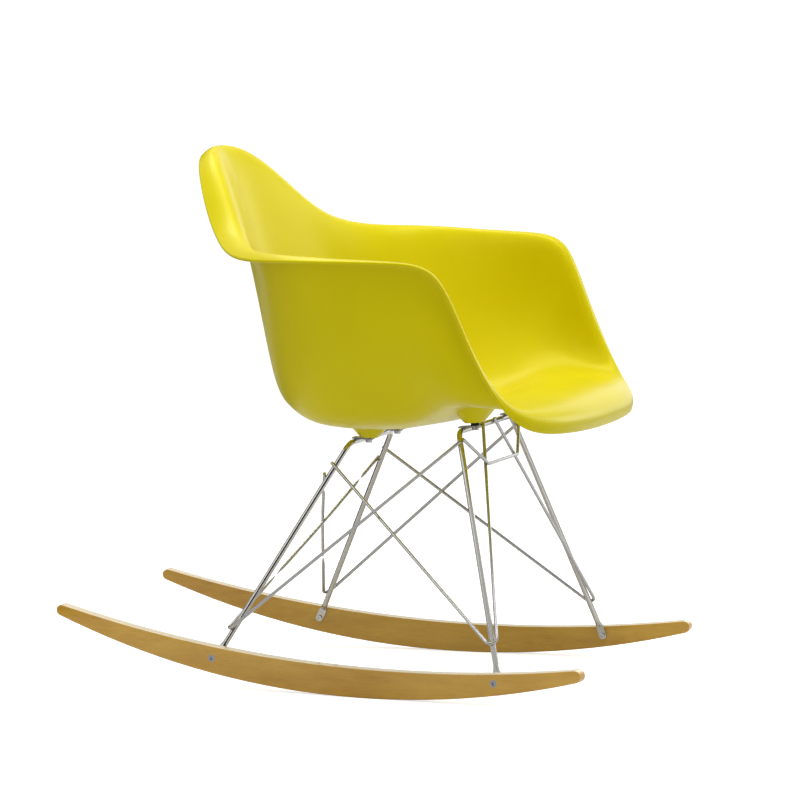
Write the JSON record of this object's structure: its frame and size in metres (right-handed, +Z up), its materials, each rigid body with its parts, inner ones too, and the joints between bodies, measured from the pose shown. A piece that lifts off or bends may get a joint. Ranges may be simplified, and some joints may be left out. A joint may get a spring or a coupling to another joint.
{
  "type": "moulded plastic rocking chair",
  "caption": "Armchair with a one-piece moulded plastic bucket shell, held through rubber mounts on a base of chromed rods that stands on curved wooden rocker boards.",
  "frame": {"origin": "on the floor, under the middle of the chair's bounding box", "axes": "+Z up; the sitter faces -Y; the sitter's left is +X"},
  "size_m": [0.6128, 0.8059, 0.7535],
  "materials": {
    "shell_plastic": "satin",
    "rod_chrome": "polished",
    "maple": "clear satin lacquer",
    "buffer_rubber": "matt",
    "plate_steel": "zinc plated",
    "screw_steel": "zinc plated",
    "nut_steel": "dark plated",
    "insert_brass": "turned"
  },
  "bodies": {
    "root": {"seat_shell": "shell_plastic", "rubber_buffer_front_left": "buffer_rubber", "rubber_buffer_front_right": "buffer_rubber", "rubber_buffer_rear_left": "buffer_rubber", "rubber_buffer_rear_right": "buffer_rubber", "threaded_inserts": "insert_brass", "mount_plate_front_left": "plate_steel", "mount_plate_front_right": "plate_steel", "mount_plate_rear_left": "plate_steel", "mount_plate_rear_right": "plate_steel", "mount_screws": "screw_steel", "mount_washers": "screw_steel", "front_hoop": "rod_chrome", "rear_hoop": "rod_chrome", "side_brace_left": "rod_chrome", "side_brace_right": "rod_chrome", "rear_brace_left": "rod_chrome", "rear_brace_right": "rod_chrome", "front_hanger": "rod_chrome", "foot_screws": "screw_steel", "sleeve_nuts": "nut_steel", "rocker_left": "maple", "rocker_right": "maple"}
  },
  "joints": []
}
